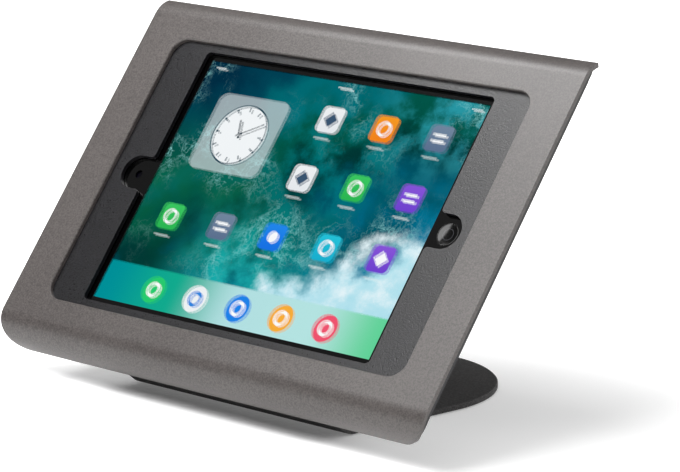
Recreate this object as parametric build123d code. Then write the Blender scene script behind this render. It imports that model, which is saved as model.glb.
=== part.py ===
from build123d import *
from math import cos, pi, radians, sin, sqrt, tan
import os

# Tablet desk stand, millimetres, +Z up.
# The origin is on the desk, under the middle of the object's outer box.
# The face and all that lies along it is drawn flat, as if it lay on a table:
# x runs along the face, y up its slope and z out of it, with z = 0 on the tablet's glass.
# on_face() then leans it back and lifts it to its height.

# Placing of the face
lean_back = 38.75                 # degrees from upright
display_height = 84.5             # centre of the display above the desk

# Front frame, folded sheet
frame_rim_left = 19.4             # frame's side edge beyond the rear cover's tray
frame_rim_right = 10.5
frame_sheet = 2.0
frame_bend = 12.5                 # outside radius of both folds
frame_rim_low = 18.65             # sharp lower corner below the rear cover's tray
frame_rim_top = 6.15              # flat part of the face above the rear cover's tray
chin_length = 13.1                # from the sharp corner, at a right angle to the face
lip_fold = 43.3                   # degrees that the upper edge is folded back
lip_length = 5.6                  # from the sharp corner
chin_corner = 15.5                # corner radius of the flat blank at the chin
window_width = 206.4
window_height = 133.5
window_corner = 8.0
window_edge = 0.4                 # softened front edge of the window

# Inlay plate, folded to nest inside the frame's chin and flat at its upper edge
inlay_sheet = 2.0
inlay_inset = 0.55                # how far its side edges stay behind the frame's
opening_width = 166.3
opening_height = 126.0
opening_corner = 2.5
cutout_radius = 8.1
cutout_mouth = 2.0                # radius where a cut-out meets the opening
inlay_behind_frame = 0.5          # its folded edge ends this much before the frame's
inlay_top_gap = 0.3               # its upper edge ends this much before the frame's fold

# Foot, folded plate
foot_plate = 2.2
foot_front_width = 123.3
foot_rear_width = 156.0           # before the rear corners are rounded
foot_corner = 53.7
foot_rear_reach = 90.7            # display centre back to the rear edge
foot_bend = 9.0                   # outside radius where the riser turns along the desk
foot_riser_gap = 0.5              # between the riser and the inlay plate's lower fold
foot_flange_gap = 0.4             # between the foot's flange and the rear cover
foot_edge = 0.5                   # softened upper edge of the tongue
mat_thickness = 0.5
mat_margin = 4.0

# Tablet
tablet_end_border = 19.75         # from the lit display to the case's outside
tablet_side_border = 7.15
tablet_thickness = 7.3
tablet_corner = 10.5
tablet_back_edge = 2.2
tablet_wall = 2.5
tablet_floor = 1.0
tablet_rim = 1.2
glass_thickness = 0.8
glass_fit = 0.1
glass_gap = 0.4                   # strip thickness between the glass and the inlay plate
display_width = 160.5
display_depth = 1.6
display_height_visible = 120.4
display_border = 1.3

# Home button, camera and port
home_radius = 5.0
home_beyond_display = 9.25        # its centre, and the camera's at the other end
home_dish = 0.35                  # depth of its sunk face
home_dish_floor = 2.4
home_flange = 1.2                 # how far its flange reaches under the glass
home_flange_depth = 0.75
home_switch_width = 5.0
home_travel = 0.3
button_fit = 0.06                 # gap round a moving button
button_rest_gap = 0.05            # between a button's flange and what holds it in
camera_radius = 3.2
camera_depth = 2.4
rear_lens_radius = 3.4
rear_lens_place = (-86.0, 52.0)
port_width = 9.2
port_height = 3.2
port_depth = 7.0
port_wall = 0.5

# Side buttons
side_button_height = 2.6
side_button_level = 3.8           # below the glass
side_button_proud = 0.5
side_button_flange = 1.0
side_button_flange_depth = 0.8
side_button_travel = 0.4
power_length = 10.5
power_place = 50.0
volume_length = 9.0
volume_up_place = -70.0
volume_down_place = -58.0
mute_length = 5.0
mute_place = -83.0
mute_travel = 1.2

# Battery and board inside the tablet
battery_size = (120.0, 100.0, 2.6)
board_size = (12.0, 46.0, 1.6)
board_place = (-89.0, -36.0)
inner_clearance = 0.3

# Rear cover, drawn tray
cover_sheet = 1.2
cover_side_gap = 3.0              # tablet to the tray at the camera end
cover_plug_gap = 11.9             # room for a charging plug at the home button end
cover_low_gap = 1.2
cover_top_gap = 2.65
cover_pad_gap = 1.7               # behind the tablet
cover_corner = 8.0
cover_back_round = 3.0
flange_inset = 1.7                # side flanges of the tray end this far inside the frame's edge
flange_fold_gap = 0.3             # from the top flange's end to the frame's fold
flange_corner = 1.5
vent_length = 24.0
vent_width = 3.0
vent_pitch = 10.0
vent_end = 1.0                    # corners of a vent are cut off this much
vent_count = 5
vent_place = 45.0
outlet_place = 106.0
outlet_hole = 5.0
outlet_bore = 4.0
grommet_flange = 0.8
grommet_lip = 1.2
grommet_edge = 0.5

# Pads, strips and locators round the tablet
pad_size = (34.0, 22.0)
pad_place = (62.0, 38.0)
strip_width = 3.0
strip_inset = 0.4
locator_length = 22.0
locator_depth = 6.0
locator_place = 62.0
end_locator_place = 44.0

# Fasteners
stud_radius = 1.5                 # M3
stud_fit = 0.05
stud_length = 6.6                 # from the frame's back face
stud_rows = (-56.0, 60.0)
stud_rim = 4.0                    # rim beside a stud kept free along the frame's edge
nut_flats = 5.5
nut_thickness = 2.4
nut_turn = 30.0                   # turns two flats towards the rear cover's side wall
foot_stud_length = 5.6            # from the inlay plate's back face
foot_stud_places = (-46.0, 0.0, 46.0)
foot_stud_margin = 0.1            # from the flange's fold to the nut
screw_head_radius = 2.85
screw_head_height = 1.65
screw_tip_gap = 0.3
screw_wall_gap = 0.25             # from a screw's head to the tray's wall
top_screw_places = (-72.0, 72.0)

# Worked out from the sizes above
lean = radians(lean_back)
face_tilt = 90.0 - lean_back
glass_level = 0.0
inlay_back = glass_level + glass_gap
inlay_front = inlay_back + inlay_sheet
frame_front = inlay_front + frame_sheet
tablet_length = display_width + 2 * tablet_end_border
tablet_height = display_height_visible + 2 * tablet_side_border
cutout_centre = display_width / 2 + home_beyond_display
lip_half = radians(lip_fold) / 2
chin_cut_turn = 90.0 / 2          # half of the chin's fold
lip_turn = radians(lip_fold)
inlay_bend = frame_bend - frame_sheet
foot_top_bend = inlay_bend - inlay_sheet - foot_riser_gap
tablet_left = -tablet_length / 2
tablet_right = tablet_length / 2
tablet_top = tablet_height / 2
tray_left = tablet_left - cover_side_gap
tray_right = tablet_right + cover_plug_gap
tray_low = -tablet_top - cover_low_gap
tray_top = tablet_top + cover_top_gap
tray_inside = glass_level - tablet_thickness - cover_pad_gap
tray_back = tray_inside - cover_sheet
flange_back = inlay_back - cover_sheet
face_below = frame_rim_low + cover_sheet - tray_low
tray_wall_top = tray_top + cover_sheet
fold_start = tray_wall_top + frame_rim_top
face_above = fold_start + frame_bend * tan(lip_half)
fold_height = inlay_back - frame_front + frame_bend
flange_top = fold_start + sqrt(inlay_bend ** 2 - fold_height ** 2) - flange_fold_gap
screw_row = tray_wall_top + screw_wall_gap + screw_head_radius
bend_middle_y = -face_below + frame_bend
bend_middle_z = frame_front - frame_bend
front_reach = frame_bend - bend_middle_y * sin(lean) + bend_middle_z * cos(lean)
display_y = (front_reach - foot_rear_reach) / 2
riser_back = -face_below + frame_sheet + inlay_sheet + foot_riser_gap
frame_left = tray_left - cover_sheet - frame_rim_left
frame_right = tray_right + cover_sheet + frame_rim_right
frame_width = frame_right - frame_left
frame_middle = (frame_left + frame_right) / 2
flange_left = frame_left + flange_inset
flange_right = frame_right - flange_inset
stud_left = (frame_left + stud_rim + tray_left - cover_sheet) / 2
stud_right = (frame_right - stud_rim + tray_right + cover_sheet) / 2
foot_stud_row = riser_back + foot_top_bend + nut_flats / 2 + foot_stud_margin


def on_face(shape):
    """Lean a shape drawn flat on the face back to its place, with the frame's middle over the origin."""
    return Pos(-frame_middle, display_y, display_height) * Rot(face_tilt, 0, 0) * shape


def folded(points, radii, thickness, middle, width):
    """Sheet of one thickness folded along a line of outside points, drawn in the side view."""
    line = FilletPolyline(*points, radius=radii)
    wall = offset(line, amount=thickness, side=Side.LEFT)
    section = make_face(wall.edges())
    sheet = extrude(Plane.YZ * section, amount=width / 2, both=True)
    return Pos(middle, 0, 0) * sheet


def plate(outline, low, high):
    """Flat plate between two levels of the face."""
    return Pos(0, 0, low) * extrude(outline, amount=high - low)


def rod(x, y, radius, low, high):
    return Pos(x, y, low) * Cylinder(radius, high - low, align=(Align.CENTER, Align.CENTER, Align.MIN))


def block(low, high):
    """Box between two corners."""
    size = [b - a for a, b in zip(low, high)]
    return Pos(*low) * Box(*size, align=(Align.MIN, Align.MIN, Align.MIN))


def corner_cut(side_x, end_y, end_z, along, side):
    """What is cut off at a corner of the chin, seen square to the middle of its fold."""
    square = Pos(-side * chin_corner / 2, along / 2) * Rectangle(chin_corner, along)
    spandrel = square - Pos(-side * chin_corner, along) * Ellipse(chin_corner, along)
    prism = extrude(spandrel, amount=frame_width, both=True)
    return Pos(side_x, end_y, end_z) * Rot(chin_cut_turn, 0, 0) * prism


def chin_corner_along(bend, straight):
    """Length of the chin's corner curve as seen square to the middle of the fold."""
    on_face_part = max(chin_corner - bend * pi / 2 - straight, 0)
    return (on_face_part + straight) * cos(pi / 4) + bend * sqrt(2)


def chin_rounded(sheet, middle, width, chin_end, along):
    """Folded sheet with the two free corners of its chin rounded."""
    for side in (-1, 1):
        edge = middle + side * width / 2
        sheet -= corner_cut(edge, *chin_end, along, side)
    return sheet


def stud_places():
    return [(x, y) for x in (stud_left, stud_right) for y in stud_rows]


def screw_places():
    return [(x, screw_row) for x in top_screw_places]


def opening_outline():
    """Opening for the display, with a round-ended cut-out at each end."""
    outline = RectangleRounded(opening_width, opening_height, opening_corner)
    for side in (-1, 1):
        slot = Pos(side * cutout_centre / 2, 0) * Rectangle(cutout_centre, 2 * cutout_radius)
        outline += slot + Pos(side * cutout_centre, 0) * Circle(cutout_radius)
    mouths = outline.vertices().filter_by(
        lambda v: abs(abs(v.X) - opening_width / 2) < stud_fit and abs(v.Y) < cutout_radius + stud_fit
    )
    return fillet(mouths, cutout_mouth)


# Front frame
def front_frame():
    lip_end = (face_above + lip_length * cos(lip_turn), frame_front - lip_length * sin(lip_turn))
    chin_end = (-face_below, frame_front - chin_length)
    points = [lip_end, (face_above, frame_front), (-face_below, frame_front), chin_end]
    sheet = folded(points, frame_bend, frame_sheet, frame_middle, frame_width)
    along = chin_corner_along(frame_bend, chin_length - frame_bend)
    sheet = chin_rounded(sheet, frame_middle, frame_width, chin_end, along)
    window = RectangleRounded(window_width, window_height, window_corner)
    sheet -= plate(window, inlay_back, frame_front + frame_sheet)
    rim = sheet.edges().filter_by_position(Axis.Z, frame_front - stud_fit, frame_front + stud_fit)
    rim = [e for e in rim if abs(e.center().X) < window_width / 2 + window_edge
           and abs(e.center().Y) < window_height / 2 + window_edge]
    return chamfer(rim, window_edge)


# Inlay plate
def inlay_plate():
    low = -face_below + frame_sheet
    chin = chin_length - frame_sheet - inlay_behind_frame
    chin_end = (low, inlay_front - chin)
    width = frame_width - 2 * inlay_inset
    points = [(fold_start - inlay_top_gap, inlay_front), (low, inlay_front), chin_end]
    sheet = folded(points, inlay_bend, inlay_sheet, frame_middle, width)
    along = chin_corner_along(inlay_bend, chin - inlay_bend)
    sheet = chin_rounded(sheet, frame_middle, width, chin_end, along)
    sheet -= plate(opening_outline(), glass_level, frame_front)
    for x, y in stud_places() + screw_places():
        sheet -= rod(x, y, stud_radius + stud_fit, glass_level, frame_front)
    return sheet


# Weld studs on the back of the frame, through the inlay plate and the cover, and all the nuts
def frame_studs():
    return Compound(
        children=[rod(x, y, stud_radius, inlay_front - stud_length, inlay_front) for x, y in stud_places()]
    )


def hex_nut(x, y, top, turn):
    outline = RegularPolygon(nut_flats / 2, 6, major_radius=False, rotation=turn)
    return Pos(x, y, 0) * plate(outline - Circle(stud_radius + stud_fit), top - nut_thickness, top)


def stud_nuts():
    """All the nuts: the frame's behind the rear cover's flanges, the foot's behind its own flange."""
    nuts = [hex_nut(x, y, flange_back, nut_turn) for x, y in stud_places()]
    for x in foot_stud_places:
        nuts.append(hex_nut(x + frame_middle, foot_stud_row, inlay_back - foot_plate, 0))
    return Compound(children=nuts)


# Foot: a flange behind the inlay plate, a riser square to the face and a tongue along the desk
def foot_corner_y():
    """Sharp corner between riser and tongue, as a distance behind the display centre."""
    drop = display_height - mat_thickness
    run = (drop + riser_back * cos(lean)) / sin(lean)
    return riser_back * sin(lean) + run * cos(lean)


def foot_outline():
    """Plan of the foot: straight beside the riser, then widening to large rounded corners."""
    corner = foot_corner_y()
    front = -front_reach
    half = foot_front_width / 2
    wide = foot_rear_width / 2
    points = [(-half, front), (half, front), (half, corner), (wide, foot_rear_reach)]
    points += [(-wide, foot_rear_reach), (-half, corner)]
    outline = make_face(Polyline(*points, close=True))
    rear = outline.vertices().filter_by(lambda v: v.Y > foot_rear_reach - stud_fit)
    return fillet(rear, foot_corner)


def side_point(up, out):
    """A point of the face's side view, from the display centre, as (behind, above)."""
    return (up * sin(lean) - out * cos(lean), up * cos(lean) + out * sin(lean))


def tongue_outline():
    """Flat part of the foot, from the end of its lower fold."""
    start = foot_corner_y() + foot_bend * tan(lean / 2)
    length = 2 * foot_rear_reach
    return foot_outline() & Pos(0, start + length / 2) * Rectangle(foot_rear_width, length)


def foot():
    desk = mat_thickness - display_height
    flange_end = tray_low - cover_sheet - foot_flange_gap
    points = [side_point(flange_end, inlay_back), side_point(riser_back, inlay_back)]
    points += [(foot_corner_y(), desk), (foot_rear_reach, desk)]
    body = folded(points, (foot_top_bend, foot_bend), foot_plate, 0, foot_rear_width)
    body &= plate(foot_outline(), -display_height, display_height)
    body -= plate(tongue_outline(), desk - foot_plate, desk + 2 * foot_plate)
    tongue = plate(tongue_outline(), desk, desk + foot_plate)
    rim = tongue.faces().sort_by(Axis.Z)[-1].edges().sort_by(Axis.Y)[1:]
    body += chamfer(rim, foot_edge)
    body = Pos(0, display_y, display_height) * body
    for x in foot_stud_places:
        body -= on_face(rod(x + frame_middle, foot_stud_row, stud_radius + stud_fit,
                            inlay_back - foot_stud_length, inlay_back))
    return body


def foot_mat():
    outline = offset(tongue_outline(), amount=-mat_margin)
    return Pos(0, display_y, 0) * extrude(outline, amount=mat_thickness)


def foot_studs():
    rods = []
    for x in foot_stud_places:
        rods.append(rod(x + frame_middle, foot_stud_row, stud_radius,
                        inlay_back - foot_stud_length, inlay_back))
    return Compound(children=rods)


# Rear cover with its cable outlet
def tray_outline(grow):
    width = tray_right - tray_left + 2 * grow
    height = tray_top - tray_low + 2 * grow
    middle = ((tray_left + tray_right) / 2, (tray_low + tray_top) / 2)
    return Pos(*middle) * RectangleRounded(width, height, cover_corner + grow)


def rear_cover():
    tray = plate(tray_outline(cover_sheet), tray_back, inlay_back)
    tray = fillet(tray.faces().sort_by(Axis.Z)[0].edges(), cover_back_round)
    low = tray_low - cover_sheet
    flange = RectangleRounded(flange_right - flange_left, flange_top - low, flange_corner)
    middle = ((flange_left + flange_right) / 2, (low + flange_top) / 2)
    tray += plate(Pos(*middle) * flange, flange_back, inlay_back)
    tray -= plate(tray_outline(0), tray_inside, inlay_back + cover_sheet)
    for side in (-1, 1):
        for step in range(vent_count):
            x = (step - (vent_count - 1) / 2) * vent_pitch
            vent = Rectangle(vent_width, vent_length)
            vent = Pos(x, side * vent_place) * chamfer(vent.vertices(), vent_end)
            tray -= plate(vent, tray_back - cover_sheet, tray_inside + cover_sheet)
    tray -= rod(outlet_place, 0, outlet_hole, tray_back - cover_sheet, tray_inside + cover_sheet)
    for x, y in stud_places() + screw_places():
        tray -= rod(x, y, stud_radius + stud_fit, tray_inside, frame_front)
    return tray


def cable_grommet():
    wide = outlet_hole + grommet_flange
    low = tray_back - grommet_lip - grommet_edge
    high = tray_inside + grommet_lip
    body = rod(outlet_place, 0, wide, low, high)
    body = chamfer(body.edges().sort_by(Axis.Z)[0], grommet_edge)
    groove = rod(outlet_place, 0, wide + grommet_flange, tray_back, tray_inside)
    body -= groove - rod(outlet_place, 0, outlet_hole, tray_back, tray_inside)
    return body - rod(outlet_place, 0, outlet_bore, low - grommet_lip, high + grommet_lip)


def cover_screws():
    screws = []
    for x, y in screw_places():
        head = rod(x, y, screw_head_radius, flange_back - screw_head_height, flange_back)
        head = chamfer(head.edges().sort_by(Axis.Z)[0], screw_head_height / 2)
        screws.append(head + rod(x, y, stud_radius, flange_back, inlay_front - screw_tip_gap))
    return Compound(children=screws)


# Strips, pads and locators that hold the tablet
def glass_strips():
    length = tablet_length - 2 * tablet_corner
    level = tablet_top - strip_inset - strip_width
    strips = []
    for side in (-1, 1):
        low = min(side * level, side * (level + strip_width))
        strips.append(block((-length / 2, low, glass_level), (length / 2, low + strip_width, inlay_back)))
    return Compound(children=strips)


def back_pads():
    pads = []
    for x in (-pad_place[0], pad_place[0]):
        for y in (-pad_place[1], pad_place[1]):
            pad = Pos(x, y) * Rectangle(*pad_size)
            pads.append(plate(pad, tray_inside, glass_level - tablet_thickness))
    return Compound(children=pads)


def tablet_locators():
    top = glass_level - glass_thickness
    low = top - locator_depth
    half = locator_length / 2
    pieces = []
    for x in (-locator_place, locator_place):
        pieces.append(block((x - half, tray_low, low), (x + half, -tablet_top, top)))
    pieces.append(block((locator_place - half, tablet_top, low), (locator_place + half, tray_top, top)))
    pieces.append(block((-half, tablet_top, low), (half, tray_top, top)))
    for y in (-end_locator_place, end_locator_place):
        pieces.append(block((tablet_right, y - half, low), (tray_right, y + half, top)))
    pieces.append(block((tray_left, -end_locator_place - half, low),
                        (tablet_left, -end_locator_place + half, top)))
    pieces.append(block((tray_left, -half, low), (tablet_left, half, top)))
    return Compound(children=pieces)


# Tablet case
def side_slot(length, depth, grow):
    """Outline of a side button, drawn upright, with a gap or a flange round it."""
    height = side_button_height + 2 * grow
    outline = SlotOverall(length + 2 * grow, height)
    return extrude(outline, amount=depth)


def at_camera_end(shape):
    """Turn a button drawn along z to point out of the tablet's camera end."""
    return Pos(tablet_left, power_place, -side_button_level) * Rot(0, 90, 0) * Rot(0, 0, 90) * shape


def at_top_edge(x, shape):
    """Turn a button drawn along z to point into the tablet from its top edge."""
    return Pos(x, tablet_top, -side_button_level) * Rot(90, 0, 0) * shape


def tablet_case():
    outline = RectangleRounded(tablet_length, tablet_height, tablet_corner)
    body = plate(outline, glass_level - tablet_thickness, glass_level)
    body = chamfer(body.faces().sort_by(Axis.Z)[0].edges(), tablet_back_edge)
    seat = RectangleRounded(tablet_length - 2 * tablet_rim, tablet_height - 2 * tablet_rim,
                            tablet_corner - tablet_rim)
    body -= plate(seat, glass_level - glass_thickness, glass_level + glass_gap)
    hollow = Rectangle(tablet_length - 2 * tablet_wall, tablet_height - 2 * tablet_wall)
    hollow = chamfer(hollow.vertices(), tablet_corner / 2)
    body -= plate(hollow, glass_level - tablet_thickness + tablet_floor, glass_level)
    through = 2 * tablet_wall
    body -= at_camera_end(Pos(0, 0, -tablet_wall) * side_slot(power_length, 2 * through, button_fit))
    for place in (volume_up_place, volume_down_place):
        slot = Pos(0, 0, -tablet_wall) * side_slot(volume_length, 2 * through, button_fit)
        body -= at_top_edge(place, slot)
    mute_slot = Pos(0, 0, -tablet_wall) * side_slot(mute_length + mute_travel, 2 * through, button_fit)
    body -= at_top_edge(mute_place + mute_travel / 2, mute_slot)
    body -= block((tablet_right - through, -port_width / 2, -side_button_level - port_height / 2),
                  (tablet_right + through, port_width / 2, -side_button_level + port_height / 2))
    return body - rod(*rear_lens_place, rear_lens_radius, -2 * tablet_thickness, -tablet_thickness / 2)


def tablet_glass():
    margin = 2 * (tablet_rim + glass_fit)
    outline = RectangleRounded(tablet_length - margin, tablet_height - margin,
                               tablet_corner - tablet_rim - glass_fit)
    outline -= Pos(cutout_centre, 0) * Circle(home_radius + button_fit)
    return plate(outline, glass_level - glass_thickness, glass_level)


def tablet_display():
    outline = Rectangle(display_width + 2 * display_border, display_height_visible + 2 * display_border)
    back = glass_level - glass_thickness
    return plate(outline, back - display_depth, back)


def tablet_battery():
    floor = glass_level - tablet_thickness + tablet_floor
    return plate(Rectangle(battery_size[0], battery_size[1]), floor, floor + battery_size[2])


def tablet_board():
    floor = glass_level - tablet_thickness + tablet_floor
    outline = Pos(*board_place) * Rectangle(board_size[0], board_size[1])
    return plate(outline, floor, floor + board_size[2])


def camera_module():
    back = glass_level - glass_thickness
    return rod(-cutout_centre, 0, camera_radius, back - camera_depth, back)


def rear_camera_lens():
    back = glass_level - tablet_thickness
    return rod(*rear_lens_place, rear_lens_radius, back, back + tablet_floor + inner_clearance)


def charging_port():
    half_w = port_width / 2
    half_h = port_height / 2
    outer = block((tablet_right - port_depth, -half_w, -side_button_level - half_h),
                  (tablet_right - glass_fit, half_w, -side_button_level + half_h))
    mouth = block((tablet_right - port_depth + port_wall, -half_w + port_wall,
                   -side_button_level - half_h + port_wall),
                  (tablet_right, half_w - port_wall, -side_button_level + half_h - port_wall))
    return outer - mouth


# Buttons
def home_button():
    """Round button with a dished face and a flange held under the glass."""
    held = glass_level - glass_thickness - button_rest_gap
    body = rod(cutout_centre, 0, home_radius, held, glass_level)
    body += rod(cutout_centre, 0, home_radius + home_flange, held - home_flange_depth, held)
    dish = Cone(home_dish_floor, home_radius, home_dish)
    return body - Pos(cutout_centre, 0, glass_level - home_dish / 2) * dish


def home_switch():
    """Post under the home button that ends its travel."""
    stop = glass_level - glass_thickness - 2 * button_rest_gap - home_flange_depth - home_travel
    post = Pos(cutout_centre, 0) * Rectangle(home_switch_width, home_switch_width)
    return plate(post, glass_level - tablet_thickness + tablet_floor, stop)


def side_button(length):
    """Cap through the tablet's wall with a flange inside it, drawn along z from outside inwards."""
    cap = Pos(0, 0, -side_button_proud) * side_slot(length, side_button_proud + tablet_wall + button_rest_gap, 0)
    flange = Pos(0, 0, tablet_wall + button_rest_gap) * side_slot(length, side_button_flange_depth,
                                                                 side_button_flange / 2)
    return cap + flange


def power_button():
    return at_camera_end(side_button(power_length))


def volume_button(place):
    return at_top_edge(place, side_button(volume_length))


def mute_switch():
    return at_top_edge(mute_place, side_button(mute_length))


face_parts = {
    "front_frame": front_frame(),
    "inlay_plate": inlay_plate(),
    "frame_studs": frame_studs(),
    "foot_studs": foot_studs(),
    "stud_nuts": stud_nuts(),
    "rear_cover": rear_cover(),
    "cable_grommet": cable_grommet(),
    "cover_screws": cover_screws(),
    "glass_strips": glass_strips(),
    "back_pads": back_pads(),
    "tablet_locators": tablet_locators(),
    "tablet_case": tablet_case(),
    "tablet_glass": tablet_glass(),
    "tablet_display": tablet_display(),
    "tablet_battery": tablet_battery(),
    "tablet_board": tablet_board(),
    "camera_module": camera_module(),
    "rear_camera_lens": rear_camera_lens(),
    "charging_port": charging_port(),
    "home_button": home_button(),
    "home_switch": home_switch(),
    "power_button": power_button(),
    "volume_up_button": volume_button(volume_up_place),
    "volume_down_button": volume_button(volume_down_place),
    "mute_switch": mute_switch(),
}
desk_parts = {
    "foot": foot(),
    "foot_mat": foot_mat(),
}

os.makedirs("parts", exist_ok=True)
for name, shape in face_parts.items():
    export_step(on_face(shape), f"parts/{name}.step")
for name, shape in desk_parts.items():
    export_step(shape, f"parts/{name}.step")
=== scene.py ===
from math import atan2, cos, pi, radians, sin

import bmesh
import bpy
from mathutils import Euler, Matrix, Vector


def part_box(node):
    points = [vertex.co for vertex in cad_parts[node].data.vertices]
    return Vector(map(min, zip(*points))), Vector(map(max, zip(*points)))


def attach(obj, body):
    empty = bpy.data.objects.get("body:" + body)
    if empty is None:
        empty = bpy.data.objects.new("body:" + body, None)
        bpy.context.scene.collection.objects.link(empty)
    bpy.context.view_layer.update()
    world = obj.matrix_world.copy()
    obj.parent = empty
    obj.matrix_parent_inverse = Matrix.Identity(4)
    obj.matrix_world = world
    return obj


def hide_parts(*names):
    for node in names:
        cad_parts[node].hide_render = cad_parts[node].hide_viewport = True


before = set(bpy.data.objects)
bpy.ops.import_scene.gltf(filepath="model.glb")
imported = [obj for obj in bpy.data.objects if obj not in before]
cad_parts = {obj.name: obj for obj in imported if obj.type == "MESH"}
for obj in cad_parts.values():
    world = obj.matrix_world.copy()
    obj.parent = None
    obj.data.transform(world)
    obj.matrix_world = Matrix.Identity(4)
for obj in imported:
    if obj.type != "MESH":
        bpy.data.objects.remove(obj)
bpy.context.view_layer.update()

scene = bpy.context.scene
scene.view_settings.view_transform = "Standard"


# Floor: a plain white sheet under the stand. Camera, mirror and glass rays see it brighter than it lights
# the object, most of all far away, where the background is white. Painted light cuts the shadow short in
# front and to the left, and painted shade darkens it under the chin and beside the foot's tongue.
class Value:
    """A socket whose arithmetic adds Math nodes to its material."""

    def __init__(self, finish, socket):
        self.finish = finish
        self.socket = socket

    def maths(self, operation, *terms):
        return self.finish.node("ShaderNodeMath", {"operation": operation}, dict(enumerate(terms)))

    def __add__(self, other):
        return self.maths("ADD", self, other)

    __radd__ = __add__

    def __sub__(self, other):
        return self.maths("SUBTRACT", self, other)

    def __rsub__(self, other):
        return self.maths("SUBTRACT", other, self)

    def __mul__(self, other):
        return self.maths("MULTIPLY", self, other)

    __rmul__ = __mul__

    def __truediv__(self, other):
        return self.maths("DIVIDE", self, other)

    def __abs__(self):
        return self.maths("ABSOLUTE", self)

    def least(self, other):
        return self.maths("MINIMUM", self, other)

    def most(self, other):
        return self.maths("MAXIMUM", self, other)

    def floor(self):
        return self.maths("FLOOR", self)

    def rest(self):
        return self.maths("FRACT", self)

    def root(self):
        return self.maths("SQRT", self)

    def angle(self, other):
        return self.maths("ARCTAN2", self, other)

    def rise(self, low, high):
        """0 below low, 1 above high and smooth between them, or falling where low is above high."""
        settings = {"interpolation_type": "SMOOTHSTEP"}
        sockets = {"Value": self, "From Min": low, "From Max": high}
        return self.finish.node("ShaderNodeMapRange", settings, sockets)


def from_middle(beside, along):
    """Distance from the middle of two values."""
    return (beside * beside + along * along).root()


class Finish:
    """A material and its nodes."""

    def __init__(self, name, **sockets):
        self.data = bpy.data.materials.new(name)
        self.data.use_nodes = True
        self.tree = self.data.node_tree
        self.shader = self.tree.nodes["Principled BSDF"]
        for socket, value in sockets.items():
            self.set(socket.replace("_", " "), value)

    def link(self, node, socket, value):
        if isinstance(value, Value):
            self.tree.links.new(value.socket, node.inputs[socket])
        else:
            node.inputs[socket].default_value = value

    def set(self, socket, value):
        self.link(self.shader, socket, value)

    def node(self, kind, settings=None, sockets=None, output=0):
        """Add a node, make its settings, then fill or link its sockets. Gives one of its outputs."""
        made = self.tree.nodes.new(kind)
        for key, value in (settings or {}).items():
            setattr(made, key, value)
        for socket, value in (sockets or {}).items():
            self.link(made, socket, value)
        return Value(self, made.outputs[output])

    def ramp(self, factor, stops, steps=False):
        """Colours along a factor, smooth or in steps."""
        made = self.node("ShaderNodeValToRGB", None, {"Fac": factor})
        ramp = made.socket.node.color_ramp
        ramp.interpolation = "CONSTANT" if steps else "EASE"
        while len(ramp.elements) < len(stops):
            ramp.elements.new(1)
        for element, (place, colour) in zip(ramp.elements, stops):
            element.position = place
            element.color = colour
        return made

    def place(self, location=(0, 0, 0), turn=(0, 0, 0)):
        """Object coordinates, measured from a place and along turned axes."""
        point = self.node("ShaderNodeTexCoord", output="Object")
        return self.node("ShaderNodeMapping", {"vector_type": "TEXTURE"},
                         {"Vector": point, "Location": location, "Rotation": turn})

    def parts(self, vector):
        """The three numbers of a vector."""
        first = self.node("ShaderNodeSeparateXYZ", None, {"Vector": vector})
        return [Value(self, output) for output in first.socket.node.outputs]

    def noise(self, vector, scale, detail=2.0, rough=0.5):
        return self.node("ShaderNodeTexNoise", None,
                         {"Vector": vector, "Scale": scale, "Detail": detail, "Roughness": rough})

    def mix(self, factor, first, second, blend="MIX"):
        """Mix two colours."""
        settings = {"data_type": "RGBA", "blend_type": blend, "clamp_factor": True}
        made = self.node("ShaderNodeMix", settings, {0: factor}, output=2)
        self.link(made.socket.node, 6, first)
        self.link(made.socket.node, 7, second)
        return made

    def bump(self, height, strength, distance):
        sockets = {"Height": height, "Strength": strength, "Distance": distance}
        self.set("Normal", self.node("ShaderNodeBump", None, sockets))


def rgba(red, green, blue):
    """A screen colour of 0 to 255 as the linear colour that a socket takes."""
    return tuple((c / 255) ** 2.2 for c in (red, green, blue)) + (1.0,)


floor_size = 16.0
floor_lift = 0.25                 # seen everywhere, the shadow too
far_lift = 0.45                   # added far from the stand
painted_light_strength = 0.3                  # painted light added in front of the stand and to its left, cutting its shadow short
chin_painted_shade_share = 0.85                 # share of floor_lift taken off under the chin, as painted shade
tongue_painted_shade_depth = 0.08               # painted shade taken off the floor beside the foot's tongue
chin_line = -0.066                # middle of the painted shade strip under the chin
shadow_front = -0.0605            # where the painted light ends the shadow in front
# where the painted light ends the shadow on the left, then the middle of the painted shade beside the
# tongue
shadow_left = -0.090
tongue_side = (0.075, 0.055)
sheet = bmesh.new()
bmesh.ops.create_grid(sheet, x_segments=1, y_segments=1, size=floor_size / 2)
floor_mesh = bpy.data.meshes.new("floor")
sheet.to_mesh(floor_mesh)
sheet.free()
floor = bpy.data.objects.new("floor", floor_mesh)
scene.collection.objects.link(floor)
floor_finish = Finish("white_floor", Base_Color=rgba(244, 244, 244), Roughness=0.9)
floor_finish.set("Specular IOR Level", 0.0)
rays = floor_finish.node("ShaderNodeLightPath").socket.node.outputs
seen = Value(floor_finish, rays["Is Camera Ray"]).most(Value(floor_finish, rays["Is Glossy Ray"]))
seen = seen.most(Value(floor_finish, rays["Is Transmission Ray"]))
floor_x, floor_y = floor_finish.parts(floor_finish.place())[:2]
# Painted shade: less lift under the chin and beside the foot's tongue, where the shadow lies.
painted_chin_shade = abs(floor_x).rise(0.090, 0.050) * abs(floor_y - chin_line).rise(0.040, 0.0)
far_away = from_middle(floor_x, floor_y).rise(0.2, 1.2)
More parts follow.
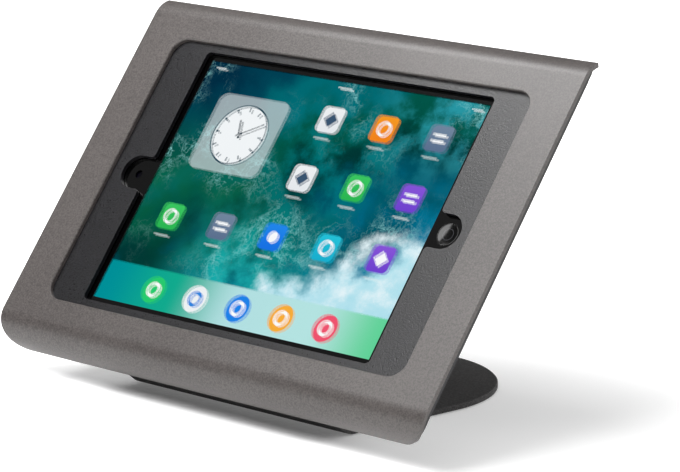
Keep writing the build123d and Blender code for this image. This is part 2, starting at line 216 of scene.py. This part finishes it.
# Painted light in front of the stand and to its left, which cuts its shadow short.
painted_light_front = (floor_y - shadow_front).rise(0.0, -0.006)
painted_light_left = (floor_x - shadow_left).rise(0.0, -0.014)
painted_shade_near_tongue = from_middle(floor_x - tongue_side[0], floor_y - tongue_side[1]).rise(0.085, 0.03)
# The lift that the camera sees: an even one, more far away, less where shade is painted and more where
# light is painted.
lift = (1 - painted_chin_shade * chin_painted_shade_share) * floor_lift + far_away * far_lift
lift = (lift + painted_light_front.most(painted_light_left) * painted_light_strength - painted_shade_near_tongue * tongue_painted_shade_depth) * seen
floor_finish.set("Emission Color", floor_finish.mix(lift, (0, 0, 0, 1), (1, 1, 1, 1)))
floor_finish.set("Emission Strength", 1.0)
floor_mesh.materials.append(floor_finish.data)


# Room: white light from all round, brighter above, as from a wide ceiling box, and brighter again
# low down at the back right.
class Surroundings(Finish):
    """The world's nodes, made in the same way as a material's."""

    def __init__(self, name):
        self.data = bpy.data.worlds.new(name)
        self.data.use_nodes = True
        self.tree = self.data.node_tree
        self.shader = self.tree.nodes["Background"]


side_light = 0.2
overhead_light = 0.9
back_light = 2.8
room = Surroundings("pale_room")
scene.world = room.data
direction_x, direction_y, height = room.parts(room.node("ShaderNodeTexCoord", output="Generated"))
room.set("Color", (1, 1, 1, 1))
overhead = height.rise(0.62, 0.95) * (overhead_light - side_light)
back_right = (direction_x + direction_y).rise(0.3, 1.2) * height.rise(0.75, 0.3)
room.set("Strength", overhead + back_right * (back_light - side_light) + side_light)


# Camera: level, a long lens a metre and a half away, to the right of the face and a little above it.
# It is placed from the face's middle on the glass over the display, and from where that shows in the
# picture. The face leans back, and its own axes run across, up its slope and out of the glass.
lean_back = radians(38.75)
across = Vector((1, 0, 0))
up_slope = Vector((0, sin(lean_back), cos(lean_back)))
out_of_face = Vector((0, -cos(lean_back), sin(lean_back)))
display_thickness = 0.0016
glass_thickness = 0.0008
display_low, display_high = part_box("tablet_display")
face_middle = (display_low + display_high) / 2 + out_of_face * (display_thickness / 2 + glass_thickness)
view_azimuth = radians(42.32)
view_elevation = radians(12.75)
view_distance = 1.44364
view_right = -0.02237
view_up = 0.01400
lens_length = 180.43
film_width = 36.0
view_turn = Euler((pi / 2 - view_elevation, 0, view_azimuth))
camera_data = bpy.data.cameras.new("camera")
camera_data.lens = lens_length
camera_data.sensor_width = film_width
camera = bpy.data.objects.new("camera", camera_data)
scene.collection.objects.link(camera)
camera.rotation_euler = view_turn
camera.location = face_middle - view_turn.to_matrix() @ Vector((view_right, view_up, -view_distance))
scene.camera = camera

# Lights: a large soft box in front, a little to the left and high up, which throws the shadow to the
# right and back, and a small one near the direction that the face mirrors to the camera, so that the
# coat is brightest at its upper right.
view_mirrored = Vector((-0.657, -0.370, 0.655))
beside_mirrored = (across - view_mirrored * across.dot(view_mirrored)).normalized()
above_mirrored = view_mirrored.cross(beside_mirrored)


def soft_box(name, size, power, distance, right, up):
    """Square lamp that the face mirrors to the camera where it isn't moved right or up."""
    offset = view_mirrored * distance + beside_mirrored * right + above_mirrored * up
    data = bpy.data.lights.new(name, "AREA")
    data.energy = power
    data.size = size
    made = bpy.data.objects.new(name, data)
    scene.collection.objects.link(made)
    made.location = face_middle + offset
    made.rotation_euler = offset.to_track_quat("Z", "Y").to_euler()


soft_box("large_box", size=0.65, power=9.6, distance=0.8, right=0.44, up=-0.07)
soft_box("small_box", size=0.16, power=1.3, distance=0.5, right=0.09, up=0.195)


# Front frame: one sheet of 2 mm steel with a large rounded window, folded back at its lower edge
# and turned back a little at its upper one. It has a warm grey powder coat with a fine grain.
def coat(name, colour, grain_colour, rough, grain_scale, grain_height, shine=0.5):
    """Powder coat: a fine grain in colour and in height, over a slow drift of tone."""
    finish = Finish(name)
    finish.set("Specular IOR Level", shine)
    point = finish.place()
    fine = finish.noise(point, grain_scale, 3.0, 0.65)
    slow = finish.noise(point, 14.0, 2.0, 0.5)
    grain = (fine * 0.85 + slow * 0.15).rise(0.36, 0.64)
    finish.set("Base Color", finish.mix(grain, colour, grain_colour))
    finish.set("Roughness", fine * 0.3 + (rough - 0.15))
    finish.bump(fine, 0.35, grain_height)
    return finish


def add_piece(name, shape, finish, replaces, body="stand"):
    """Make an object of a finished bmesh, with its finish and body, hide the CAD node that it replaces, and
    shade it round.
    """
    crease = radians(30)
    for face in shape.faces:
        face.smooth = True
    for edge in shape.edges:
        edge.smooth = edge.calc_face_angle(pi) < crease
    mesh = bpy.data.meshes.new(name)
    shape.to_mesh(mesh)
    shape.free()
    mesh.materials.append(finish.data)
    piece = bpy.data.objects.new(name, mesh)
    scene.collection.objects.link(piece)
    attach(piece, body)
    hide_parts(replaces)
    weighted = piece.modifiers.new("flat faces lead", "WEIGHTED_NORMAL")
    weighted.keep_sharp = True
    weighted.weight = 100


def dressed(name, node, finish, edge, body="stand"):
    """A piece with a CAD node's own shape: triangles joined and sharp edges broken."""
    same_point = 1e-6
    flat = radians(0.4)
    sharp = radians(40)
    shape = bmesh.new()
    shape.from_mesh(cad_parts[node].data)
    bmesh.ops.remove_doubles(shape, verts=shape.verts, dist=same_point)
    bmesh.ops.dissolve_limit(shape, angle_limit=flat, verts=shape.verts, edges=shape.edges)
    corners = [e for e in shape.edges if e.calc_face_angle(0) > sharp]
    bmesh.ops.bevel(shape, geom=corners, offset=edge, offset_type="OFFSET", segments=2, profile=0.5,
                    affect="EDGES", clamp_overlap=True, material=-1)
    add_piece(name, shape, finish, node, body)


frame_coat = coat("warm_grey_coat", rgba(59, 55, 54), rgba(85, 80, 78), rough=0.40,
                  grain_scale=1300.0, grain_height=0.00008)
dressed("frame_sheet", "front_frame", frame_coat, edge=0.00025)

# Inlay plate: 2 mm steel sheet behind the window, nested in the frame's lower fold. Its coat is
# black, and its opening and round-ended cut-outs leave the display, camera and button free.
black_coat = coat("black_coat", rgba(4, 4, 6), rgba(24, 23, 28), rough=0.32,
                  grain_scale=1300.0, grain_height=0.0004, shine=0.38)
dressed("inlay_sheet", "inlay_plate", black_coat, edge=0.00025)

# Foot: 2.2 mm steel plate that comes down out of the lower fold and runs back along the desk.
# Its black coat is duller than the inlay plate's, and three studs hold it to that plate.
foot_coat = coat("foot_coat", rgba(50, 49, 49), rgba(73, 72, 72), rough=0.68,
                 grain_scale=1300.0, grain_height=0.00006, shine=0.10)
dressed("foot_plate", "foot", foot_coat, edge=0.0003)

# Anti-slip mat: half a millimetre of black rubber sheet, glued under the foot and cut a little
# smaller than it.
mat_rubber = coat("mat_rubber", rgba(20, 20, 20), rgba(30, 30, 30), rough=0.8,
                  grain_scale=3000.0, grain_height=0.00003)
dressed("anti_slip_mat", "foot_mat", mat_rubber, edge=0.00015)

# Rear cover: drawn steel tray that closes the back, in the same black coat as the inlay plate.
# Its flange tucks under the frame's upper fold, and the frame's studs and two screws hold it.
dressed("rear_tray", "rear_cover", black_coat, edge=0.0002)


# Fasteners: zinc-plated M3 weld studs with rolled threads, and chamfered hexagon nuts. The frame
# has four studs, at the sides of the tray, and the inlay plate three, behind the lower fold, which
# hold the foot. The nuts press on the flanges of the cover and of the foot.
def on_face(x, y, z):
    """A point in the object's own axes from its place on the face, out of the glass last."""
    return face_middle + across * x + up_slope * y + out_of_face * z


def ringed(rings, place, bored=False, steps=48):
    """Piece round the face's normal. Each ring has a radius and a height, or functions of the angle."""
    shape = bmesh.new()
    loops = []
    for radius, height in rings:
        made = bmesh.ops.create_circle(shape, segments=steps, radius=1)
        loops.append(list(dict.fromkeys(edge for vert in made["verts"] for edge in vert.link_edges)))
        for vert in made["verts"]:
            turn = atan2(vert.co.y, vert.co.x)
            reach = radius(turn) if callable(radius) else radius
            level = height(turn) if callable(height) else height
            vert.co = (reach * cos(turn), reach * sin(turn), level)
    if bored:
        loops.append(loops[0])
    for first, second in zip(loops, loops[1:]):
        bmesh.ops.bridge_loops(shape, edges=first + second)
    if not bored:
        for loop in (loops[0], loops[-1]):
            bmesh.ops.contextual_create(shape, geom=loop)
    bmesh.ops.recalc_face_normals(shape, faces=shape.faces)
    turned = Matrix((across, up_slope, out_of_face)).transposed().to_4x4()
    turned.translation = on_face(*place, 0)
    bmesh.ops.transform(shape, matrix=turned, verts=shape.verts)
    return shape


def together(shapes):
    """Join several bmeshes into one."""
    whole = bmesh.new()
    for shape in shapes:
        mesh = bpy.data.meshes.new("joining")
        shape.to_mesh(mesh)
        shape.free()
        whole.from_mesh(mesh)
        bpy.data.meshes.remove(mesh)
    return whole


def hexagon(flats, turn):
    """Distance from the middle to a hexagon's outline, along an angle."""
    return lambda angle: flats / 2 / cos((angle - turn) % (pi / 3) - pi / 6)


stud_radius = 0.0015
stud_pitch = 0.0005
thread_depth = 0.54               # all four as a share of the pitch
thread_root = (0.55, 0.42)
thread_crest = 0.1


def stud(plain_from, plain_to, end, place):
    """Rolled thread below a plain shank."""
    core = stud_radius - stud_pitch * thread_depth
    rings = [(stud_radius, plain_from), (stud_radius, plain_to)]
    for step in range(int((plain_to - end) / stud_pitch)):
        crest = plain_to - (step + 1) * stud_pitch
        rings += [(core, crest + stud_pitch * share) for share in thread_root]
        rings += [(stud_radius, crest + stud_pitch * thread_crest), (stud_radius, crest)]
    rings[-1] = (core, end)
    return ringed(rings, place, steps=32)


nut_flats = 0.0055
nut_bore = 0.00155
nut_thickness = 0.0024
nut_top = nut_flats / 2 * 0.97    # radius where the chamfer of its corners starts
nut_slope = 0.5
nut_countersink = nut_bore * 1.12
countersink_depth = nut_bore * 0.1


def nut(high, turn, place):
    """Hexagon nut whose corners are chamfered on both sides."""
    low = high - nut_thickness
    outline = hexagon(nut_flats, turn)

    def drop(angle):
        return (outline(angle) - nut_top) * nut_slope

    rings = [(nut_bore, low + countersink_depth), (nut_countersink, low), (nut_top, low),
             (outline, lambda a: low + drop(a)), (outline, lambda a: high - drop(a)),
             (nut_top, high), (nut_countersink, high), (nut_bore, high - countersink_depth)]
    return ringed(rings, place, bored=True, steps=72)


zinc = Finish("zinc", Metallic=1.0, Roughness=0.32)
zinc_drift = zinc.noise(zinc.place(), 900.0, 3.0, 0.6)
zinc.set("Base Color", zinc.mix(zinc_drift, rgba(176, 178, 176), rgba(206, 206, 200)))
frame_stud_places = [(x, y) for x in (-0.1119, 0.11635) for y in (-0.056, 0.060)]
foot_stud_places = [(x, -0.07305) for x in (-0.046, 0.0, 0.046)]
# Each set's node and places, then the levels of its weld, of the flange under its nuts and of its tips.
stud_sets = (
    ("frame_studs", frame_stud_places, 0.0024, -0.0008, -0.0042, 0),
    ("foot_studs", foot_stud_places, 0.0004, -0.0018, -0.0052, pi / 6),
)
nuts = []
for node, places, weld, flange, tip, nut_turn in stud_sets:
    studs = [stud(weld, flange, tip, place) for place in places]
    add_piece("threaded_" + node, together(studs), zinc, node)
    nuts += [nut(flange, nut_turn, place) for place in places]
add_piece("hexagon_nuts", together(nuts), zinc, "stud_nuts")

# Cover screws: two black round-headed M3 screws with hexagon sockets. They go through the cover's
# top flange into the inlay plate. Their rings run from the socket's floor over the head to the tip.
black_steel = Finish("black_steel", Metallic=0.9, Roughness=0.4)
steel_drift = black_steel.noise(black_steel.place(), 1200.0, 3.0, 0.6)
black_steel.set("Base Color", black_steel.mix(steel_drift, rgba(38, 38, 40), rgba(58, 58, 60)))
socket_hexagon = hexagon(0.002, 0)
screw_rings = [(socket_hexagon, -0.0015), (socket_hexagon, -0.00235), (0.00125, -0.00245),
               (0.0018, -0.00245), (0.0023, -0.00214), (0.00265, -0.00178), (0.00282, -0.0013),
               (0.00282, -0.0009), (0.00275, -0.0008), (0.0015, -0.0008), (0.0015, 0.0018),
               (0.0012, 0.0021)]
screw_places = [(x, 0.0743) for x in (-0.072, 0.072)]
screws = [ringed(screw_rings, place, steps=72) for place in screw_places]
add_piece("socket_cover_screws", together(screws), black_steel, "cover_screws")

# Grommet: soft black rubber ring with rounded lips, pushed into the cover's cable outlet, so that
# the sheet's edge sits in its groove. Its rings run from the outer lip round the groove to the bore.
soft_rubber = coat("soft_rubber", rgba(26, 26, 26), rgba(36, 36, 36), rough=0.65,
                   grain_scale=1500.0, grain_height=0.00002)
grommet_rings = [(0.00425, -0.0119), (0.0053, -0.0119), (0.00565, -0.01175), (0.0058, -0.0114),
                 (0.0058, -0.01035), (0.0057, -0.0102), (0.005, -0.0102), (0.005, -0.009),
                 (0.0057, -0.009), (0.0058, -0.00885), (0.0058, -0.0081), (0.00568, -0.00788),
                 (0.0054, -0.0078), (0.00425, -0.0078), (0.00406, -0.0079), (0.004, -0.0081),
                 (0.004, -0.0116), (0.00406, -0.0118)]
outlet_place = (0.106, 0)
grommet = ringed(grommet_rings, outlet_place, bored=True)
add_piece("outlet_grommet", grommet, soft_rubber, "cable_grommet")

# Foam strips, pads and locators: dark foam, cut to size and stuck on. Strips lie between the glass
# and the inlay plate, pads behind the tablet, and locators at its edges.
foam = coat("foam", rgba(38, 38, 40), rgba(56, 56, 58), rough=0.95, grain_scale=1800.0, grain_height=0.0002)
dressed("foam_strips", "glass_strips", foam, edge=0.0001)
dressed("foam_pads", "back_pads", foam, edge=0.0003)
dressed("foam_locators", "tablet_locators", foam, edge=0.0002)

# Tablet case: a shallow tray of dark aluminium, blasted and then anodised. Its side buttons and the
# mute switch have the same finish and travel in slots of its wall.
anodised = Finish("anodised_case", Metallic=0.85, Roughness=0.38)
blasting = anodised.noise(anodised.place(), 4000.0, 2.0, 0.6)
anodised.set("Base Color", anodised.mix(blasting, rgba(92, 94, 98), rgba(108, 110, 114)))
anodised.bump(blasting, 0.2, 0.00002)
dressed("case", "tablet_case", anodised, edge=0.00015)
for node in ("power_button", "volume_up_button", "volume_down_button", "mute_switch"):
    dressed(node + "_cap", node, anodised, edge=0.00012, body=node)

# Cover glass: a sheet in the case's rim, black behind, with a clear area where the display shows
# and a clear spot over the camera.
display_width = 0.1605
display_height = 0.1204
camera_place = -0.0895
camera_window = 0.0019
paint_edge = 0.00006              # half the width over which the black paint ends
face_turn = Euler((pi / 2 - lean_back, 0, 0))
glass = Finish("black_glass", Base_Color=rgba(4, 4, 5), Roughness=0.05)
glass_x, glass_y = glass.parts(glass.place(face_middle, face_turn))[:2]
beside = abs(glass_x).rise(display_width / 2 - paint_edge, display_width / 2 + paint_edge)
above = abs(glass_y).rise(display_height / 2 - paint_edge, display_height / 2 + paint_edge)
from_camera = from_middle(glass_x - camera_place, glass_y)
round_camera = from_camera.rise(camera_window - paint_edge, camera_window + paint_edge)
glass.set("Alpha", beside.most(above).least(round_camera))
dressed("cover_glass", "tablet_glass", glass, edge=0.0001)

# Display: a lit picture under the glass, in millimetres from the face's middle. Ribbons of teal,
# green and pale aqua break into pale surf at the lower right, under plain rounded tiles, a round
# dial and a paler strip of round keys along the bottom.
millimetres = 1000
picture = Finish("display_picture", Base_Color=rgba(2, 2, 2), Roughness=0.3)
picture.set("Specular IOR Level", 0.0)
picture_point = picture.place(face_middle, face_turn)
x, y = [part * millimetres for part in picture.parts(picture_point)[:2]]
swirl = picture.noise(picture_point, 15.0, 3.0, 0.5)
strands = picture.noise(picture_point, 55.0, 6.0, 0.65)
threads = picture.noise(picture_point, 120.0, 4.0, 0.6)
slope = y * 0.0085 - x * 0.0055 + (swirl - 0.5) * 1.5 + (strands - 0.5) * 0.5
sea = picture.ramp(slope * 0.5 + 0.5, (
    (0.0, rgba(24, 150, 176)), (0.25, rgba(8, 118, 150)), (0.38, rgba(4, 80, 96)),
    (0.48, rgba(4, 56, 54)), (0.60, rgba(8, 84, 72)), (0.74, rgba(6, 104, 112)),
    (0.88, rgba(4, 66, 84)), (1.0, rgba(4, 48, 68))))
green_side = x.rise(25, -60) * y.rise(50, -10) * y.rise(-45, -20) * swirl.rise(0.38, 0.58)
sea = picture.mix(green_side * 0.75, sea, rgba(20, 96, 52))
streaks = x.rise(10, 60) * y.rise(10, 45) * strands.rise(0.42, 0.62)
sea = picture.mix(streaks * 0.5, sea, rgba(60, 185, 205))
glow = x.rise(-62, -12) * x.rise(52, 2) * y.rise(8, -38)
sea = picture.mix(glow * strands.rise(0.25, 0.6) * 0.8, sea, rgba(36, 190, 190))
upwelling = x.rise(-40, 5) * x.rise(70, 20) * y.rise(62, 30) * y.rise(-20, 10)
sea = picture.mix(upwelling * strands.rise(0.4, 0.6) * 0.5, sea, rgba(10, 140, 150))
gather = picture.noise(picture_point, 26.0, 3.0, 0.6)
foam_lines = abs(threads - 0.5).rise(0.03, 0.0) * 0.6 + abs(strands - 0.52).rise(0.022, 0.0) * 0.8
foam_lines = foam_lines * gather.rise(0.46, 0.66)
sea = picture.mix(foam_lines * swirl.rise(0.34, 0.6) * 0.7, sea, rgba(150, 224, 224))
shore = x * 0.0085 - y * 0.0125 - 0.66 + (swirl - 0.5) * 1.4 + (strands - 0.5) * 0.9
surf = picture.ramp(strands * 1.6 - 0.3, (
    (0.0, rgba(96, 190, 214)), (0.45, rgba(176, 224, 236)), (0.75, rgba(226, 243, 248)),
    (1.0, rgba(246, 251, 252))))
sea = picture.mix(shore.rise(-0.04, 0.22), sea, surf)
key_strip = y.rise(-40.9, -41.3)
strip_colour = picture.ramp(x / (display_width * millimetres) + 0.5, (
    (0.0, rgba(0, 142, 150)), (0.25, rgba(24, 168, 140)), (0.5, rgba(176, 222, 224)),
    (0.75, rgba(178, 226, 224)), (1.0, rgba(96, 208, 150))))
sea = picture.mix(key_strip, sea, strip_colour)


def rounded_square(a, b, half, corner):
    """Distance out of a square with rounded corners."""
    beyond_a = (abs(a) - (half - corner)).most(0)
    beyond_b = (abs(b) - (half - corner)).most(0)
    return from_middle(beyond_a, beyond_b) - corner


# Tiles in five columns and three rows, apart from the dial's place, each with a label under it and
# one of four motifs: a ring, two bars, a diamond or a disc.
column_pitch = 30.5
row_pitch = 29.0
columns = 5
left_column = -61.0
low_row = -16.0
tile_half = 6.3
tile_corner = 2.4
label_level = -9.4
column = ((x - (left_column - column_pitch / 2)) / column_pitch).floor()
row = ((y - (low_row - row_pitch / 2)) / row_pitch).floor()
tile_x = x - left_column - column * column_pitch
tile_y = y - low_row - row * row_pitch
in_grid = y.rise(-30.6, -30.4) * y.rise(56.4, 56.2)
in_dial_field = x.rise(-15.2, -15.4) * y.rise(-1.6, -1.4)
free_place = in_grid * (1 - in_dial_field)
tile = rounded_square(tile_x, tile_y, tile_half, tile_corner).rise(0.15, -0.15) * free_place
count = column + row * columns
colour_pick = (count * 0.618 + 0.13).rest()
tile_colour = picture.ramp(colour_pick, (
    (0.0, rgba(60, 196, 96)), (0.14, rgba(244, 150, 40)), (0.28, rgba(38, 132, 232)),
    (0.42, rgba(236, 238, 240)), (0.56, rgba(132, 84, 214)), (0.70, rgba(112, 132, 156)),
    (0.82, rgba(240, 90, 84)), (0.92, rgba(40, 190, 214))), steps=True)
tile_colour = picture.mix(tile_y.rise(7, -7) * 0.45, tile_colour, rgba(30, 60, 110), "SOFT_LIGHT")
from_tile = from_middle(tile_x, tile_y)
motif_pick = (count * 0.382 + 0.05).rest()
ring_motif = abs(from_tile - 3.1).rise(0.75, 0.55)
bars_motif = abs(abs(tile_y) - 1.5).rise(0.75, 0.6) * abs(tile_x).rise(3.7, 3.5)
diamond_motif = (abs(tile_x) + abs(tile_y)).rise(3.9, 3.7)
disc_motif = from_tile.rise(2.9, 2.7)
motif = ring_motif * motif_pick.rise(0.26, 0.24)
motif = motif + bars_motif * motif_pick.rise(0.24, 0.26) * motif_pick.rise(0.51, 0.49)
motif = motif + diamond_motif * motif_pick.rise(0.49, 0.51) * motif_pick.rise(0.76, 0.74)
motif = motif + disc_motif * motif_pick.rise(0.74, 0.76)
pale_tile = abs(colour_pick - 0.49).rise(0.075, 0.065)
motif_colour = picture.mix(pale_tile, rgba(246, 248, 250), rgba(60, 84, 110))
tile_colour = picture.mix(motif, tile_colour, motif_colour)
label_y = tile_y - label_level
label = rounded_square(tile_x / 4.2, label_y, 1.0, 0.5).rise(0.1, -0.1) * abs(label_y).rise(0.5, 0.4)
image = picture.mix(label * free_place * 0.6, sea, rgba(225, 240, 240))
image = picture.mix(tile, image, tile_colour)

# Dial: a pale disc with a dark rim, twelve ticks and two hands, on a pale rounded panel.
dial_x = x + 45.75
dial_y = y - 27.5
ticks = 12
panel = rounded_square(dial_x / 1.1, dial_y, 19.0, 4.5).rise(0.15, -0.15)
image = picture.mix(panel * 0.42, image, rgba(226, 240, 244))
from_dial = from_middle(dial_x, dial_y)
image = picture.mix(from_dial.rise(15.2, 15.0), image, rgba(240, 244, 246))
image = picture.mix(abs(from_dial - 14.6).rise(0.5, 0.35), image, rgba(30, 70, 84))
from_tick = abs((dial_x.angle(dial_y) * (ticks / (2 * pi)) + 0.5).rest() - 0.5)
tick = from_tick.rise(0.09, 0.06) * abs(from_dial - 12.4).rise(1.1, 0.95)
image = picture.mix(tick, image, rgba(40, 70, 84))


def hand(ahead_x, ahead_y, width, tail, tip):
    """A hand of the dial along a direction, from behind the middle to its tip."""
    beside_hand = abs(dial_x * ahead_y - dial_y * ahead_x)
    along_hand = dial_x * ahead_x + dial_y * ahead_y
    shown = beside_hand.rise(width, width - 0.15)
    return shown * along_hand.rise(tail, tail + 0.2) * along_hand.rise(tip, tip - 0.2)


long_hand = hand(0.866, 0.5, width=0.5, tail=-1.9, tip=11.2)
short_hand = hand(-0.342, 0.94, width=0.65, tail=-2.0, tip=7.6)
hub = from_dial.rise(1.1, 0.9)
image = picture.mix(long_hand.most(short_hand).most(hub), image, rgba(24, 48, 60))

# Keys: five round ones with a ring on each, in the strip along the bottom.
key_pitch = 25.0
left_key = -50.0
key_level = -50.8
key_column = ((x - (left_key - key_pitch / 2)) / key_pitch).floor()
from_key = from_middle(x - left_key - key_column * key_pitch, y - key_level)
key_ends = abs(x).rise(62.4, 62.2)
key_colour = picture.ramp(key_column * 0.2 + 0.1, (
    (0.0, rgba(44, 200, 110)), (0.2, rgba(236, 240, 242)), (0.4, rgba(36, 128, 230)),
    (0.6, rgba(246, 170, 60)), (0.8, rgba(238, 84, 110))), steps=True)
image = picture.mix(from_key.rise(6.6, 6.3) * key_ends, image, key_colour)
pale_key = abs(key_column - 1.0).rise(0.4, 0.6)
key_ring_colour = picture.mix(pale_key, rgba(50, 130, 220), rgba(250, 252, 252))
image = picture.mix(abs(from_key - 3.0).rise(0.85, 0.65) * key_ends, image, key_ring_colour)

# Three short bars along the top.
bar_height = abs(y - 57.6).rise(0.5, 0.35)
bar_ends = abs(abs(x) - 74.0).rise(3.1, 2.9)
bar_middle = abs(x).rise(4.1, 3.9)
image = picture.mix(bar_ends.most(bar_middle) * bar_height * 0.8, image, rgba(235, 245, 245))
picture.set("Emission Color", image)
picture.set("Emission Strength", 1.0)
dressed("lit_display", "tablet_display", picture, edge=0.0001)

# Battery, board and switch: a pouch cell in a dark wrap, and a green board with the post that the
# home button presses on. They lie on the floor of the case.
cell = coat("cell_wrap", rgba(52, 52, 56), rgba(64, 64, 68), rough=0.5,
            grain_scale=700.0, grain_height=0.00003)
dressed("pouch_cell", "tablet_battery", cell, edge=0.0008)
board = coat("board_mask", rgba(14, 52, 38), rgba(24, 66, 48), rough=0.35,
             grain_scale=500.0, grain_height=0.00003)
dressed("main_board", "tablet_board", board, edge=0.0001)
dressed("switch_post", "home_switch", board, edge=0.0001)

# Cameras: a turned black barrel with a sunk, domed lens, one behind the glass and one in the case's
# back. Their rings run from the barrel's hidden end round its front edge to the lens's middle.
lens = Finish("lens_black", Roughness=0.06)
lens_grain = lens.noise(lens.place(), 300.0, 2.0, 0.5)
lens.set("Base Color", lens.mix(lens_grain, rgba(6, 6, 10), rgba(16, 14, 26)))
front_rings = [(0.0032, -0.0032), (0.0032, -0.0009), (0.0031, -0.0008), (0.00135, -0.0008),
               (0.00125, -0.00085), (0.00115, -0.0012), (0.00105, -0.0012), (0.0008, -0.00108),
               (0.0004, -0.001), (0.0001, -0.00098)]
add_piece("front_camera", ringed(front_rings, (camera_place, 0)), lens, "camera_module")
rear_camera_place = (-0.086, 0.052)
rear_rings = [(0.0034, -0.006), (0.0034, -0.0072), (0.0033, -0.0073), (0.0026, -0.0073),
              (0.0025, -0.0072), (0.00245, -0.0069), (0.0018, -0.00705), (0.001, -0.00712),
              (0.0001, -0.00714)]
add_piece("rear_camera", ringed(rear_rings, rear_camera_place), lens, "rear_camera_lens")

# Charging port: drawn metal shell, zinc-coloured like the fasteners, set in the wall of the case's
# right end.
dressed("port_shell", "charging_port", zinc, edge=0.00008)

# Home button: polished black plastic with a dished face and a thin grey ring. Its flange lies under
# the glass and keeps it in. Its rings run from the flange's back over its edge to the dish.
button_place = (0.0895, 0)
ring_radius = 0.0026
dish_radius = 0.0047
dish_floor = -0.00026
dish_depth = 0.00025
dish_steps = 10
button_gloss = Finish("button_gloss", Roughness=0.10)
button_gloss.set("Specular IOR Level", 0.3)
button_x, button_y = button_gloss.parts(button_gloss.place(on_face(*button_place, 0), face_turn))[:2]
thin_ring = abs(from_middle(button_x, button_y) - ring_radius).rise(0.00022, 0.00014)
button_gloss.set("Base Color", button_gloss.mix(thin_ring * 0.5, rgba(5, 5, 6), rgba(70, 70, 74)))
button_rings = [(0.0062, -0.0016), (0.0062, -0.00085), (0.005, -0.00085), (0.005, -0.0001),
                (0.00493, -0.00002), (0.0048, 0)]
for step in range(dish_steps, 0, -1):
    share = step / dish_steps
    button_rings.append((dish_radius * share, dish_floor + dish_depth * share ** 2))
button = ringed(button_rings, button_place, steps=64)
add_piece("dished_button", button, button_gloss, "home_button", body="home_button")
